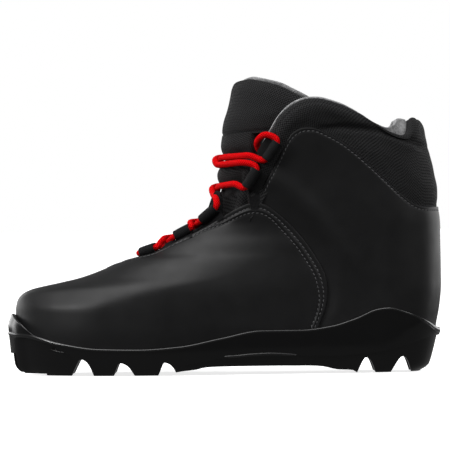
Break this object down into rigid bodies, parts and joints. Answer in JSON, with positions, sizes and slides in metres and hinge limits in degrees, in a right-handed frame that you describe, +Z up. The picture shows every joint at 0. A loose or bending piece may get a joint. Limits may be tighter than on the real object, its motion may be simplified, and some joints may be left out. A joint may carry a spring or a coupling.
{
  "type": "cross country ski boot",
  "caption": "Left ankle-high cross country ski boot: lasted upper with laced throat, padded collar and folding tongue top, on a moulded sole with a toe bar and guide channel.",
  "frame": {"origin": "on the ground under the middle of the boot", "axes": "+X towards the heel, -Y the outer (lateral) side, +Z up"},
  "size_m": [0.2991, 0.095, 0.2038],
  "materials": {
    "sole_rubber": "gloss moulded",
    "leather": "smooth satin",
    "black_cloth": "woven",
    "grey_felt": "felt",
    "red_lace": "braided",
    "lace_tip": "shrunk film",
    "foam": "closed cell",
    "board": "fibre board",
    "steel": "plain"
  },
  "bodies": {
    "boot": {"outsole": "sole_rubber", "toe_bar": "steel", "heel_filler": "foam", "sole_filler": "foam", "shank": "steel", "insole_board": "board", "footbed": "foam", "vamp": "leather", "quarter_lateral": "leather", "quarter_medial": "leather", "facing_upper_lateral": "black_cloth", "facing_upper_medial": "black_cloth", "collar": "black_cloth", "facing_lower_lateral": "black_cloth", "facing_lower_medial": "black_cloth", "toe_puff": "board", "heel_counter": "board", "insulation": "foam", "collar_padding": "foam", "lining": "grey_felt", "tongue_base": "black_cloth", "tongue_base_felt": "grey_felt", "gusset_lateral": "black_cloth", "gusset_medial": "black_cloth", "lace_loop_lateral_1": "black_cloth", "lace_loop_lateral_2": "black_cloth", "lace_loop_lateral_3": "black_cloth", "lace_loop_lateral_4": "black_cloth", "lace_loop_lateral_5": "black_cloth", "lace_loop_medial_1": "black_cloth", "lace_loop_medial_2": "black_cloth", "lace_loop_medial_3": "black_cloth", "lace_loop_medial_4": "black_cloth", "lace_loop_medial_5": "black_cloth", "lace": "red_lace", "lace_tip_lateral": "lace_tip", "lace_tip_medial": "lace_tip"},
    "tongue_flap": {"tongue_top": "black_cloth", "tongue_top_padding": "foam", "tongue_top_felt": "grey_felt"}
  },
  "joints": [
    {"name": "tongue_top_fold", "type": "hinge", "parent": "boot", "child": "tongue_flap", "pos_m": [0.0002, 0, 0.165], "axis": [0, -1, 0], "range_deg": [0, 60]}
  ]
}
